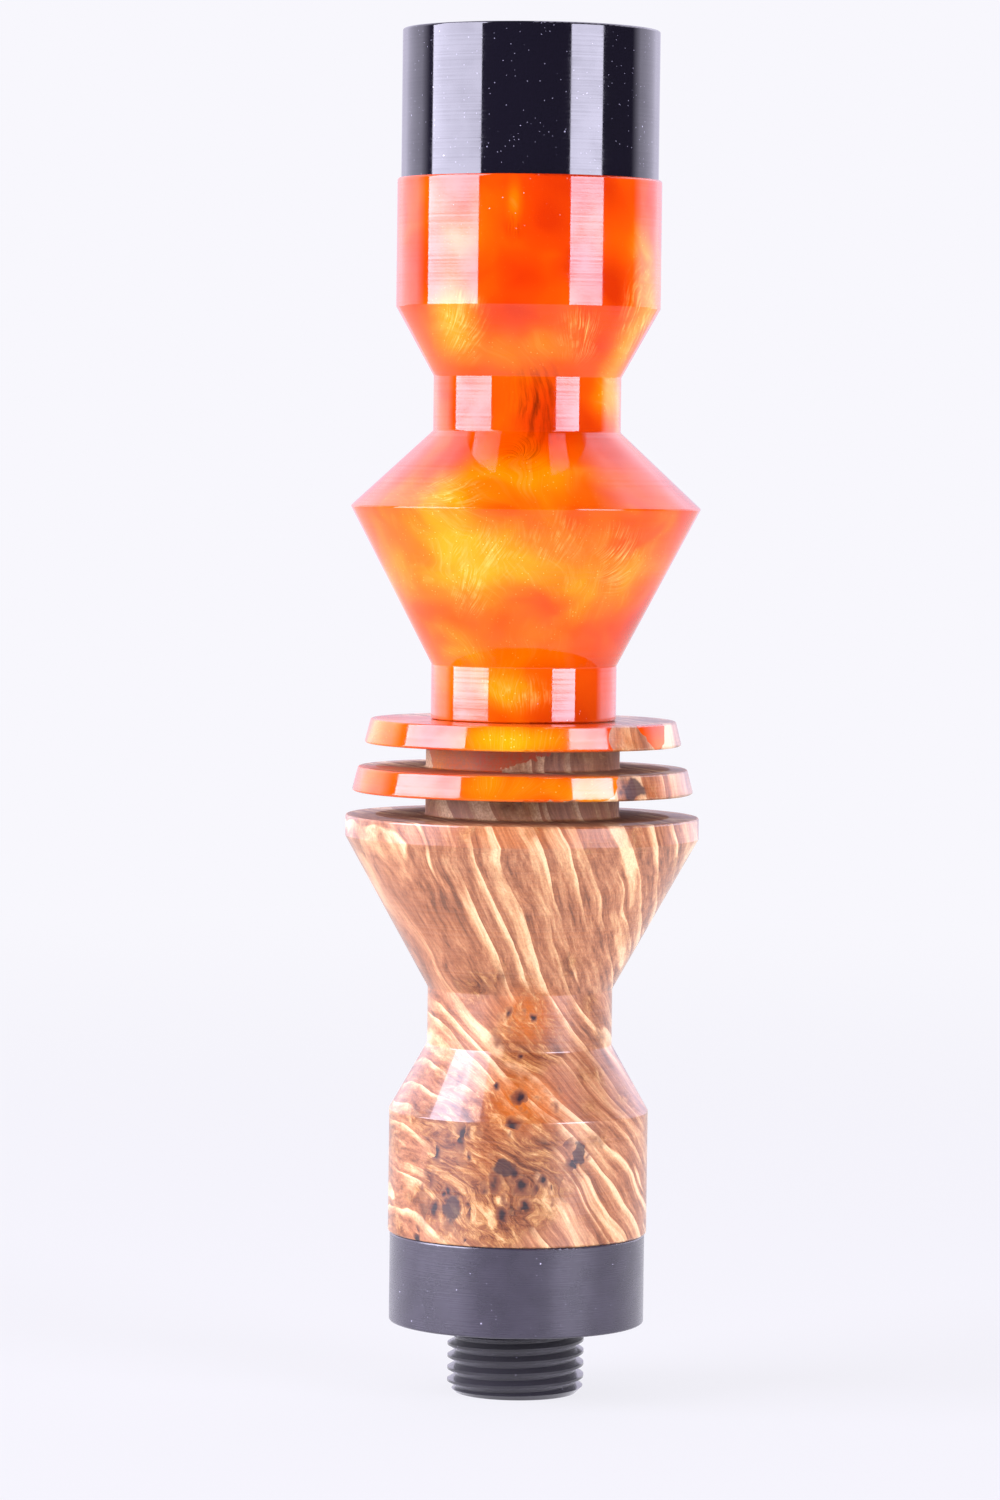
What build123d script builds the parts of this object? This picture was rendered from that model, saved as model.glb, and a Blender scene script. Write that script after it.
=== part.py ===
"""Duck call: a cast-resin barrel with a black mouthpiece on a burl-and-resin insert.

Millimetres. The call stands on the end of its threaded stub: the origin is the centre of that end,
and +Z runs up the air bore to the mouthpiece. The reeds face -Y.
"""

import math
import os

from build123d import *

# ---- Outline of the turned body, from the stub's end upwards ----
stub_length = 7.3
collar_height = 9.2
collar_d = 26.1
foot_height = 12.6
foot_d = 26.5
waist_d = 18.9
waist_height = 5.8
foot_cone_height = 6.7
brim_cone_height = 15.4
brim_d = 36.1
brim_height = 2.2
fin_count = 2
fin_thickness = 2.5
groove_width = 2.4
groove_core_d = 19.8
fin_taper = 14.2  # degrees from the axis, one cone over the brim and all the fins
root_neck_d = 18.9
root_neck_height = 5.6
belly_d = 35.7
belly_lower_height = 16.05
belly_upper_height = 7.7
neck_d = 19.1
neck_height = 5.55
shoulder_height = 7.0
head_d = 26.9
head_height = 13.0
mouthpiece_d = 26.15
mouthpiece_height = 15.1
edge_break = 0.22  # radius on every turned edge

# ---- Bores and glued spigots ----
barrel_bore = 14.3
mouth_bore = 13.0
mouth_step = 1.2  # how far the wide bore runs up into the mouthpiece's ring
mouth_flare = 1.4  # chamfer of the mouthpiece's lip
exhaust_bore = 8.0
spigot_wall = 2.0
mouthpiece_spigot_length = 7.0
collar_spigot_d = 16.0
collar_spigot_length = 8.0
glue_gap = 0.05  # radial, and at the end of each blind socket
socket_chamfer = 0.4

# ---- Stub thread, M14 x 1.25, right-hand ----
thread_d = 14.0
thread_pitch = 1.25
thread_depth = 0.61343 * thread_pitch
thread_crest = 0.2 * thread_pitch
thread_flank_angle = 30  # degrees, half of the 60 degree form
thread_relief = 1.2
thread_chamfer = 0.75

# ---- Push fit of the barrel on the insert's tenon ----
tenon_clearance = 0.1  # radial
tenon_ring_length = 8.6  # the part of the tenon that carries the O-rings
wedge_slot_length = 8.4
o_ring_count = 2
o_ring_pitch = 4.0
o_ring_groove_depth = 1.2
o_ring_groove_width = 1.9
o_ring_gap = 0.03  # free space on each side of the rubber

# ---- Tone board ----
shank_d = 12.6
shank_length = 25.0
board_relief = 0.45  # radial step from the tenon down to the board
board_length = 36.5
board_tip_radius = 3.5
reed_gap_at_tip = 1.1
trough_r = 2.8
trough_offset = 1.2  # the trough's axis lies this far behind the flat
trough_end = 3.0  # solid tip beyond the trough
slot_wall = 1.1
slot_depth = 3.4

# ---- Reeds and wedge ----
reed_side_gap = 0.15
reed_lift = 0.03  # free space under and between the reeds
long_reed_thickness = 0.35
short_reed_thickness = 0.25
long_reed_setback = 0.8  # from the board's tip
short_reed_setback = 3.2
reed_corner = 1.6
dimple_r = 1.6
dimple_depth = 0.12
dimple_setback = 7.0
wedge_overhang = 2.5  # how far the wedge stands out of its slot
wedge_taper = 3.0  # degrees, so that it bites on the reeds at its front edge
wedge_roof_gap = 0.04
reed_end_gap = 0.3

# ---- Levels ----
collar_bottom = stub_length
insert_bottom = collar_bottom + collar_height
foot_top = insert_bottom + foot_height
waist_bottom = foot_top + foot_cone_height
waist_top = waist_bottom + waist_height
brim_bottom = waist_top + brim_cone_height
brim_top = brim_bottom + brim_height
insert_top = brim_top + fin_count * (groove_width + fin_thickness)
root_neck_top = insert_top + root_neck_height
belly_level = root_neck_top + belly_lower_height
neck_bottom = belly_level + belly_upper_height
neck_top = neck_bottom + neck_height
head_bottom = neck_top + shoulder_height
head_top = head_bottom + head_height
call_top = head_top + mouthpiece_height

tenon_d = barrel_bore - 2 * tenon_clearance
shank_bottom = insert_top - shank_length
slot_floor = insert_top + tenon_ring_length
tenon_top = slot_floor + wedge_slot_length
fulcrum = tenon_top + wedge_overhang
board_tip = tenon_top + board_length
board_r = tenon_d / 2 - board_relief
slot_width = 2 * math.sqrt((tenon_d / 2 - slot_wall) ** 2 - slot_depth**2)
reed_width = slot_width - 2 * reed_side_gap
reed_bottom = slot_floor + reed_end_gap
spigot_d = barrel_bore + 2 * spigot_wall
o_ring_section = o_ring_groove_depth + tenon_clearance - 2 * o_ring_gap
o_ring_d = tenon_d + 2 * tenon_clearance - 2 * o_ring_gap - o_ring_section
o_ring_levels = [
    insert_top + (tenon_ring_length - (o_ring_count - 1) * o_ring_pitch) / 2 + i * o_ring_pitch
    for i in range(o_ring_count)
]


def fin_rim_d(level):
    """Diameter of the cone that the brim and the fins are turned to, at a level."""
    return brim_d - 2 * (level - brim_top) * math.tan(math.radians(fin_taper))


def bore(diameter, bottom, top):
    """A round hole on the call's axis, cut from the part that is being built."""
    with BuildSketch(Plane.XY.offset(bottom)) as hole:
        Circle(diameter / 2)
    extrude(hole.sketch, amount=top - bottom, mode=Mode.SUBTRACT)


def rims(part, level):
    """The circular edges of a part at one level."""
    return part.edges().filter_by(GeomType.CIRCLE).filter_by_position(Axis.Z, level - 0.001, level + 0.001)


# ---- Mouthpiece: the black ring at the lips, glued into the barrel by its spigot ----
with BuildPart() as mouthpiece:
    with BuildSketch(Plane.XY.offset(head_top)):
        Circle(mouthpiece_d / 2)
    extrude(amount=mouthpiece_height)
    fillet(rims(mouthpiece, call_top), edge_break)
    with BuildSketch(Plane.XY.offset(head_top)):
        Circle(spigot_d / 2 - glue_gap)
    extrude(amount=-mouthpiece_spigot_length)
    bore(barrel_bore, head_top - mouthpiece_spigot_length, head_top + mouth_step)
    bore(mouth_bore, head_top + mouth_step, call_top)
    chamfer(rims(mouthpiece, call_top).sort_by(SortBy.RADIUS)[0], mouth_flare)
mouthpiece.part.label = "mouthpiece"

# ---- Barrel: the turned resin body, with a socket for the mouthpiece's spigot ----
with BuildPart() as barrel:
    with BuildSketch(Plane.XZ):
        with BuildLine():
            Polyline(
                (0, insert_top),
                (root_neck_d / 2, insert_top),
                (root_neck_d / 2, root_neck_top),
                (belly_d / 2, belly_level),
                (neck_d / 2, neck_bottom),
                (neck_d / 2, neck_top),
                (head_d / 2, head_bottom),
                (head_d / 2, head_top),
                (0, head_top),
                close=True,
            )
        make_face()
    revolve(axis=Axis.Z)
    fillet(barrel.edges().filter_by(GeomType.CIRCLE), edge_break)
    bore(barrel_bore, insert_top, head_top)
    bore(spigot_d, head_top - mouthpiece_spigot_length - glue_gap, head_top)
    chamfer(rims(barrel, insert_top).sort_by(SortBy.RADIUS)[0], socket_chamfer)
barrel.part.label = "barrel"

# ---- Insert: the burl body with its fins, bored for the tone board and the end collar ----
insert_outline = [
    (0, insert_bottom),
    (foot_d / 2, insert_bottom),
    (foot_d / 2, foot_top),
    (waist_d / 2, waist_bottom),
    (waist_d / 2, waist_top),
    (brim_d / 2, brim_bottom),
    (brim_d / 2, brim_top),
]
for fin in range(fin_count):
    groove_bottom = brim_top + fin * (groove_width + fin_thickness)
    fin_bottom = groove_bottom + groove_width
    fin_top = fin_bottom + fin_thickness
    insert_outline += [
        (groove_core_d / 2, groove_bottom),
        (groove_core_d / 2, fin_bottom),
        (fin_rim_d(fin_bottom) / 2, fin_bottom),
        (fin_rim_d(fin_top) / 2, fin_top),
    ]
insert_outline.append((0, insert_top))

with BuildPart() as insert_body:
    with BuildSketch(Plane.XZ):
        with BuildLine():
            Polyline(*insert_outline, close=True)
        make_face()
    revolve(axis=Axis.Z)
    fillet(insert_body.edges().filter_by(GeomType.CIRCLE), edge_break)
    bore(exhaust_bore, insert_bottom, insert_top)
    bore(shank_d + 2 * glue_gap, shank_bottom - glue_gap, insert_top)
    bore(collar_spigot_d + 2 * glue_gap, insert_bottom, insert_bottom + collar_spigot_length + glue_gap)
insert_body.part.label = "insert_body"

# ---- Cutter for the stub's thread: one 60 degree groove along a right-hand helix ----
groove_root = thread_pitch - thread_crest - 2 * thread_depth * math.tan(math.radians(thread_flank_angle))
cutter_height = thread_depth + 0.3
cutter_mouth = groove_root + 2 * cutter_height * math.tan(math.radians(thread_flank_angle))
thread_start = -1.1 * thread_pitch
thread_end = stub_length - thread_relief / 2
root_r = thread_d / 2 - thread_depth

with BuildPart() as thread_cutter:
    with BuildLine(Plane.XY.offset(thread_start)) as thread_path:
        Helix(thread_pitch, thread_end - thread_start, root_r)
    with BuildSketch(Plane((root_r, 0, thread_start), x_dir=(1, 0, 0), z_dir=thread_path.line % 0)):
        with BuildLine():
            Polyline(
                (0, -groove_root / 2),
                (cutter_height, -cutter_mouth / 2),
                (cutter_height, cutter_mouth / 2),
                (0, groove_root / 2),
                close=True,
            )
        make_face()
    sweep(path=thread_path.line, is_frenet=True)

# ---- End collar: the black ring under the insert, with the threaded stub and the exhaust bore ----
with BuildPart() as end_collar:
    with BuildSketch(Plane.XY.offset(collar_bottom)):
        Circle(collar_d / 2)
    extrude(amount=collar_height)
    fillet(end_collar.edges().filter_by(GeomType.CIRCLE), edge_break)
    with BuildSketch(Plane.XY.offset(insert_bottom)):
        Circle(collar_spigot_d / 2)
    extrude(amount=collar_spigot_length)
    with BuildSketch(Plane.XZ):
        with BuildLine():
            Polyline(
                (0, 0),
                (thread_d / 2 - thread_chamfer, 0),
                (thread_d / 2, thread_chamfer),
                (thread_d / 2, stub_length - thread_relief),
                (root_r - 0.05, stub_length - thread_relief + thread_depth),
                (root_r - 0.05, collar_bottom + 0.5),
                (0, collar_bottom + 0.5),
                close=True,
            )
        make_face()
    revolve(axis=Axis.Z)
    add(thread_cutter.part, mode=Mode.SUBTRACT)
    bore(exhaust_bore, 0, insert_bottom + collar_spigot_length)
    chamfer(rims(end_collar, 0).sort_by(SortBy.RADIUS)[0], socket_chamfer)
end_collar.part.label = "end_collar"

# ---- Tone board: shank glued into the insert, tenon for the O-rings, and the board under the reeds ----
with BuildPart() as tone_board:
    with BuildSketch(Plane.XY.offset(shank_bottom)):
        Circle(shank_d / 2)
    extrude(amount=shank_length)
    with BuildSketch(Plane.XY.offset(insert_top)):
        Circle(tenon_d / 2)
    extrude(amount=tenon_top - insert_top)
    chamfer(rims(tone_board, tenon_top), socket_chamfer)
    with BuildSketch(Plane.XY.offset(tenon_top)):
        with Locations((0, board_r / 2)):
            Rectangle(2 * board_r, board_r)
        Circle(board_r, mode=Mode.INTERSECT)
    extrude(amount=board_length)
    # the tip is rounded off, as seen from the reeds' side
    with BuildSketch(Plane.XZ.offset(-board_r)):
        with Locations((0, board_tip)):
            Rectangle(2 * board_r + 1, 2 * board_tip_radius)
        with Locations((0, board_tip - 2 * board_tip_radius)):
            RectangleRounded(2 * board_r, 4 * board_tip_radius, board_tip_radius, mode=Mode.SUBTRACT)
    extrude(amount=board_r + 1, mode=Mode.SUBTRACT)
    # O-ring grooves
    for level in o_ring_levels:
        with BuildSketch(Plane.XY.offset(level - o_ring_groove_width / 2)):
            Circle(tenon_d / 2 + 1)
            Circle(tenon_d / 2 - o_ring_groove_depth, mode=Mode.SUBTRACT)
        extrude(amount=o_ring_groove_width, mode=Mode.SUBTRACT)
    # wedge slot, open at the tenon's top
    with BuildSketch(Plane.XY.offset(slot_floor)):
        with Locations((0, -slot_depth / 2)):
            Rectangle(slot_width, slot_depth)
    extrude(amount=wedge_slot_length, mode=Mode.SUBTRACT)
    # the flat falls away from the reeds, from the fulcrum to the tip
    with BuildSketch(Plane.YZ.offset(-board_r)):
        with BuildLine():
            Polyline(
                (0, fulcrum),
                (reed_gap_at_tip, board_tip),
                (reed_gap_at_tip, board_tip + 1),
                (-1, board_tip + 1),
                (-1, fulcrum),
                close=True,
            )
        make_face()
    extrude(amount=2 * board_r, mode=Mode.SUBTRACT)
    # trough under the reeds, and the throat that widens down to the exhaust
    with BuildSketch(Plane.XY.offset(slot_floor)):
        with Locations((0, trough_offset)):
            Circle(trough_r)
    extrude(amount=board_tip - trough_end - slot_floor, mode=Mode.SUBTRACT)
    with BuildSketch(Plane.XY.offset(slot_floor)):
        with Locations((0, trough_offset)):
            Circle(trough_r)
    with BuildSketch(Plane.XY.offset(shank_bottom)):
        Circle(exhaust_bore / 2)
    loft(mode=Mode.SUBTRACT)
tone_board.part.label = "tone_board"


# ---- O-rings on the tenon ----
def o_ring(level):
    """One rubber ring at rest in its groove, just clear of the groove's floor and the barrel."""
    with BuildPart() as ring:
        with BuildSketch(Plane.XZ):
            with Locations((o_ring_d / 2, level)):
                Circle(o_ring_section / 2)
        revolve(axis=Axis.Z)
    return ring.part


o_ring_names = ["lower_o_ring", "upper_o_ring"]
o_rings = [o_ring(level) for level in o_ring_levels]
for ring, name in zip(o_rings, o_ring_names):
    ring.label = name


# ---- Reeds: two strips of polyester film on the board's flat ----
def reed(thickness, face, setback):
    """A strip whose board side lies at y = face, from the slot to its setback from the tip."""
    with BuildPart() as strip:
        with BuildSketch(Plane.XZ.offset(-face)):
            with Locations((0, (reed_bottom + board_tip - setback) / 2)):
                Rectangle(reed_width, board_tip - setback - reed_bottom)
        extrude(amount=thickness)
        tip = strip.edges().filter_by(Axis.Y).group_by(Axis.Z)[-1]
        fillet(tip, reed_corner)
    return strip.part


long_reed_face = -reed_lift
short_reed_face = long_reed_face - long_reed_thickness - reed_lift
short_reed_outside = short_reed_face - short_reed_thickness

with BuildPart() as long_reed:
    add(reed(long_reed_thickness, long_reed_face, long_reed_setback))
long_reed.part.label = "long_reed"

with BuildPart() as short_reed:
    add(reed(short_reed_thickness, short_reed_face, short_reed_setback))
    # the dent of the dimple that holds the two reeds apart
    dimple_z = board_tip - short_reed_setback - dimple_setback
    with Locations((0, short_reed_outside - dimple_r + dimple_depth, dimple_z)):
        Sphere(dimple_r, mode=Mode.SUBTRACT)
short_reed.part.label = "short_reed"

# ---- Wedge: the cork block that clamps the reeds in the slot ----
wedge_roof = -slot_depth + wedge_roof_gap
wedge_front_face = short_reed_outside - reed_lift
wedge_back_face = wedge_front_face - (fulcrum - reed_bottom) * math.tan(math.radians(wedge_taper))

with BuildPart() as wedge:
    with BuildSketch(Plane.YZ.offset(-reed_width / 2)):
        with BuildLine():
            Polyline(
                (wedge_roof, reed_bottom),
                (wedge_back_face, reed_bottom),
                (wedge_front_face, fulcrum),
                (wedge_roof, fulcrum),
                close=True,
            )
        make_face()
    extrude(amount=reed_width)
    chamfer(wedge.edges().filter_by(Axis.X).group_by(Axis.Z)[-1].sort_by(Axis.Y)[0], 0.6)
wedge.part.label = "wedge"

# ---- Write one STEP for each piece ----
os.makedirs("parts", exist_ok=True)
pieces = [
    mouthpiece.part,
    barrel.part,
    insert_body.part,
    end_collar.part,
    tone_board.part,
    *o_rings,
    long_reed.part,
    short_reed.part,
    wedge.part,
]
for piece in pieces:
    export_step(piece, f"parts/{piece.label}.step")
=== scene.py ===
"""A turned duck call of orange pearl resin and burl, standing on its threaded stub."""

import math

import bmesh
import bpy
from mathutils import Matrix, Vector

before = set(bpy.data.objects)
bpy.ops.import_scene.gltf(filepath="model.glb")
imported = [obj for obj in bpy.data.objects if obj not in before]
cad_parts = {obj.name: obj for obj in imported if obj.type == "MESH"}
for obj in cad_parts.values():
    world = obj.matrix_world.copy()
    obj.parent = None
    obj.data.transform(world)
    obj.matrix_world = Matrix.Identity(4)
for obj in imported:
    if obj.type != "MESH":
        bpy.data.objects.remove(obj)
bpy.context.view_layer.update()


# ---- Camera ----
# A long lens at table height, a little above the call's waist and rolled so that the call leans to the right.
camera_distance = 0.583
camera_height = 0.0964
camera = bpy.data.objects.new("camera", bpy.data.cameras.new("camera"))
bpy.context.collection.objects.link(camera)
camera.data.lens = 137.2
camera.data.clip_start = 0.05
camera.matrix_world = (
    Matrix.Translation((0, -camera_distance, camera_height))
    @ Matrix.Rotation(math.radians(0.23), 4, "Z")
    @ Matrix.Rotation(math.radians(90 - 3.0), 4, "X")
    @ Matrix.Rotation(math.radians(0.7), 4, "Z")
)
bpy.context.scene.camera = camera


# ---- Studio ----
# White paper on a table, two upright softboxes in front on the left and right, and a bright wall behind. The
# paper and the wall light the call more than they show to the camera, in place of a wider table and a lit room.
def linear(hex_colour):
    """Linear RGBA of an sRGB hex colour."""
    channels = [int(hex_colour[i : i + 2], 16) / 255 for i in (1, 3, 5)]
    return (*[c / 12.92 if c <= 0.04045 else ((c + 0.055) / 1.055) ** 2.4 for c in channels], 1.0)


def add_node(tree, kind, links=None, stops=None, **settings):
    """Adds a node: settings are its own, links fill its sockets by name or number, stops are a ramp's."""
    made = tree.nodes.new(kind)
    for name, value in settings.items():
        setattr(made, name, value)
    for socket, value in (links or {}).items():
        if isinstance(value, bpy.types.NodeSocket):
            tree.links.new(value, made.inputs[socket])
        else:
            made.inputs[socket].default_value = value
    if stops:
        ramp = made.color_ramp
        for i, (place, colour) in enumerate(stops):
            element = ramp.elements[i] if i < 2 else ramp.elements.new(place)
            element.position = place
            element.color = linear(colour) if isinstance(colour, str) else (colour, colour, colour, 1)
    return made



def finish_for(name):
    """An empty material with its node tree, shader and the surface's place in millimetres."""
    made = bpy.data.materials.new(name)
    made.use_nodes = True
    tree = made.node_tree
    own = add_node(tree, "ShaderNodeTexCoord").outputs["Object"]
    place = add_node(tree, "ShaderNodeMapping", {"Vector": own, "Scale": (1000, 1000, 1000)}).outputs[0]
    return made, tree, tree.nodes["Principled BSDF"], place


paper_light = 2.6  # strength of the light that the paper throws up onto the call
grey_until, white_from = 120, 600  # mm from the axis, between which the paper goes from its faint grey to white
paper, tree, shader, place = finish_for("white_paper")
distance = add_node(tree, "ShaderNodeVectorMath", {0: place}, operation="LENGTH").outputs["Value"]
far = add_node(tree, "ShaderNodeMapRange", {"Value": distance, "From Min": grey_until, "From Max": white_from},
               interpolation_type="SMOOTHSTEP").outputs[0]
shade = add_node(tree, "ShaderNodeMapRange", {"Value": far, "To Min": 0.05, "To Max": 0.0}).outputs[0]
tree.links.new(add_node(tree, "ShaderNodeCombineColor", {0: shade, 1: shade, 2: shade}).outputs[0],
               shader.inputs["Base Color"])
shader.inputs["Roughness"].default_value = 0.9
shader.inputs["Specular IOR Level"].default_value = 0.0
shader.inputs["Emission Color"].default_value = linear("#F8F7FD")
glow = add_node(tree, "ShaderNodeMapRange", {"Value": far, "To Min": 0.86, "To Max": 1.0}).outputs[0]
scattered = add_node(tree, "ShaderNodeLightPath").outputs["Is Diffuse Ray"]
glow = add_node(tree, "ShaderNodeMix", {"Factor": scattered, "A": glow, "B": paper_light}).outputs[0]
tree.links.new(glow, shader.inputs["Emission Strength"])

sheet = bmesh.new()
bmesh.ops.create_circle(sheet, cap_ends=True, segments=96, radius=0.7)  # metres
floor = bpy.data.objects.new("paper", bpy.data.meshes.new("paper"))
sheet.to_mesh(floor.data)
sheet.free()
floor.data.materials.append(paper)
bpy.context.collection.objects.link(floor)


def softbox(name, azimuth, width, height, bottom, distance, radiance):
    """An upright softbox that faces the call's axis, its azimuth in degrees to the right of the camera's."""
    light = bpy.data.lights.new(name, "AREA")
    light.shape = "RECTANGLE"
    light.size, light.size_y = width, height
    light.color = (0.82, 0.79, 1.0)
    light.energy = radiance * math.pi * width * height
    made = bpy.data.objects.new(name, light)
    bpy.context.collection.objects.link(made)
    made.visible_camera = False
    outward = Vector((math.sin(math.radians(azimuth)), -math.cos(math.radians(azimuth)), 0))
    made.location = outward * distance + Vector((0, 0, bottom + height / 2))
    made.rotation_euler = (-outward).to_track_quat("-Z", "Y").to_euler()


softbox("left_softbox", -71, 0.90, 0.88, 0.02, 0.9, 16.5)
softbox("left_softbox_top", -71, 0.90, 0.62, 0.9, 0.9, 7)
softbox("right_softbox", 51, 0.50, 0.72, 0.02, 0.9, 18.5)

wall_light = 2.6  # strength of the light from the wall and the room at its brightest
world = bpy.data.worlds.new("studio")
bpy.context.scene.world = world
world.use_nodes = True
air = world.node_tree
air.nodes.clear()
way = add_node(air, "ShaderNodeTexCoord").outputs["Generated"]
split = add_node(air, "ShaderNodeSeparateXYZ", {0: way})
behind = add_node(air, "ShaderNodeValToRGB", {0: split.outputs["Y"]}, stops=(
    (0.22, 0.03), (0.42, 1.0), (0.85, 0.95), (1.0, 0.38)))
level = add_node(air, "ShaderNodeMath", {0: behind.outputs[0], 1: wall_light}, operation="MULTIPLY").outputs[0]
seen = add_node(air, "ShaderNodeLightPath").outputs["Is Camera Ray"]
level = add_node(air, "ShaderNodeMix", {"Factor": seen, "A": level, "B": 1.0}).outputs[0]
tint = add_node(air, "ShaderNodeMix", {"Factor": seen, "A": linear("#E9E4FC"), "B": linear("#F8F7FD")},
                data_type="RGBA").outputs["Result"]
sky = add_node(air, "ShaderNodeBackground", {"Color": tint, "Strength": level})
add_node(air, "ShaderNodeOutputWorld", {"Surface": sky.outputs[0]})
bpy.context.scene.view_settings.view_transform = "Standard"


# ---- Mouthpiece ----
# The ring at the caller's lips: black cast acrylic, turned on the lathe, polished, and glued into the barrel
# by its spigot. Fine rings from the last cut still show in its gloss, and dust sits on it.
def tool_rings(tree, place, pitch):
    """The rings that a lathe tool leaves: a noise along the axis only, its pitch in mm. The real ones are finer,
    and are drawn this coarse so that they show."""
    along = add_node(tree, "ShaderNodeSeparateXYZ", {0: place}).outputs["Z"]
    return add_node(tree, "ShaderNodeTexNoise", {"W": along, "Scale": 1 / pitch, "Detail": 3.0, "Roughness": 0.8},
                    noise_dimensions="1D").outputs[0]


def turned_gloss(tree, shader, place, pitch, smooth, rough, shine, height):
    """A turned and polished surface: rings change its roughness, shine (dull, bright) and height, which is in mm."""
    rings = tool_rings(tree, place, pitch)
    wear = add_node(tree, "ShaderNodeTexNoise", {"Vector": place, "Scale": 1 / 4, "Detail": 3.0}).outputs[0]
    mixed = add_node(tree, "ShaderNodeMath", {0: rings, 1: wear}, operation="MULTIPLY").outputs[0]
    tree.links.new(add_node(tree, "ShaderNodeMapRange", {"Value": mixed, "From Min": 0.22, "From Max": 0.42,
                                                         "To Min": smooth, "To Max": rough}).outputs[0],
                   shader.inputs["Roughness"])
    tree.links.new(add_node(tree, "ShaderNodeMapRange", {"Value": mixed, "From Min": 0.18, "From Max": 0.36,
                                                         "To Min": shine[1], "To Max": shine[0]}).outputs[0],
                   shader.inputs["Specular IOR Level"])
    tree.links.new(add_node(tree, "ShaderNodeBump", {"Height": rings, "Distance": height / 1000}).outputs[0],
                   shader.inputs["Normal"])


def dust(tree, place, spacing, size, share):
    """Specks: one for each cell of the spacing, kept for a share of the cells. A mask from 0 to 1."""
    cells = add_node(tree, "ShaderNodeTexVoronoi", {"Vector": place, "Scale": 1 / spacing})
    chance = add_node(tree, "ShaderNodeSeparateColor", {0: cells.outputs["Color"]}).outputs[0]
    kept = add_node(tree, "ShaderNodeMath", {0: chance, 1: share}, operation="LESS_THAN").outputs[0]
    core = add_node(tree, "ShaderNodeMath", {0: cells.outputs["Distance"], 1: size / spacing}, operation="LESS_THAN")
    return add_node(tree, "ShaderNodeMath", {0: kept, 1: core.outputs[0]}, operation="MULTIPLY").outputs[0]


polished_black, tree, shader, place = finish_for("polished_black_acrylic")
fine = dust(tree, place, 0.42, 0.05, 0.35)
specks = dust(tree, place, 1.1, 0.08, 0.22)
specks = add_node(tree, "ShaderNodeMath", {0: fine, 1: 0.55, 2: specks}, operation="MULTIPLY_ADD").outputs[0]
colour = add_node(tree, "ShaderNodeMix", {"Factor": specks, "A": linear("#0C0A12"), "B": linear("#8C8A99")},
                  data_type="RGBA")
tree.links.new(colour.outputs["Result"], shader.inputs["Base Color"])
turned_gloss(tree, shader, place, 0.22, 0.05, 0.13, (0.44, 0.54), 0.0008)
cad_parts["mouthpiece"].material_slots[0].material = polished_black


# ---- Barrel ----
# The body that the caller holds: polyester resin cast with mica pearl in orange and gold, turned and buffed.
# The pearl lies in stirred clouds and threads with fine flakes, and the gloss shows faint tool rings.
def patch(tree, place, centre, reach):
    """A soft lump in a pattern: 1 at the centre, 0 beyond the reach along X, Y and Z, in mm."""
    off = add_node(tree, "ShaderNodeVectorMath", {0: place, 1: centre}, operation="SUBTRACT").outputs[0]
    share = add_node(tree, "ShaderNodeVectorMath", {0: off, 1: reach}, operation="DIVIDE").outputs[0]
    far = add_node(tree, "ShaderNodeVectorMath", {0: share}, operation="LENGTH").outputs["Value"]
    return add_node(tree, "ShaderNodeMapRange", {"Value": far, "From Min": 1.0, "From Max": 0.0},
                    interpolation_type="SMOOTHSTEP").outputs[0]


def stirred(tree, place, size, push):
    """The place, pushed about by a slow noise of the given size, as a thick liquid is by stirring, in mm."""
    noise = add_node(tree, "ShaderNodeTexNoise", {"Vector": place, "Scale": 1 / size, "Detail": 2.0}).outputs["Color"]
    centred = add_node(tree, "ShaderNodeVectorMath", {0: noise, 1: (0.5, 0.5, 0.5)}, operation="SUBTRACT").outputs[0]
    moved = add_node(tree, "ShaderNodeVectorMath", {0: centred, "Scale": push}, operation="SCALE").outputs[0]
    return add_node(tree, "ShaderNodeVectorMath", {0: place, 1: moved}, operation="ADD").outputs[0]


def strands(tree, place, origin, curl, pitch, low, high):
    """Threads that fan out from an origin, bending by curl radians a mm, about pitch radians apart. A mask."""
    off = add_node(tree, "ShaderNodeVectorMath", {0: place, 1: origin}, operation="SUBTRACT").outputs[0]
    off = add_node(tree, "ShaderNodeVectorMath", {0: off, 1: (1, 0, 1)}, operation="MULTIPLY").outputs[0]
    side = add_node(tree, "ShaderNodeSeparateXYZ", {0: off}).outputs
    angle = add_node(tree, "ShaderNodeMath", {0: side["X"], 1: side["Z"]}, operation="ARCTAN2").outputs[0]
    reach = add_node(tree, "ShaderNodeVectorMath", {0: off}, operation="LENGTH").outputs["Value"]
    angle = add_node(tree, "ShaderNodeMath", {0: reach, 1: curl, 2: angle}, operation="MULTIPLY_ADD").outputs[0]
    polar = add_node(tree, "ShaderNodeCombineXYZ", {0: angle, 1: reach}).outputs[0]
    polar = add_node(tree, "ShaderNodeMapping", {"Vector": polar, "Scale": (1 / pitch, 0.28, 1)}).outputs[0]
    noise = add_node(tree, "ShaderNodeTexNoise", {"Vector": polar, "Scale": 1.0, "Detail": 4.0, "Roughness": 0.62})
    return add_node(tree, "ShaderNodeMapRange", {"Value": noise.outputs[0], "From Min": low,
                                                 "From Max": high}).outputs[0]


def weighed_patches(tree, place, value, patches):
    """The value with each patch (centre, reach, weight) added."""
    for centre, reach, weight in patches:
        value = add_node(tree, "ShaderNodeMath", {0: patch(tree, place, centre, reach), 1: weight, 2: value},
                         operation="MULTIPLY_ADD").outputs[0]
    return value


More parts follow.
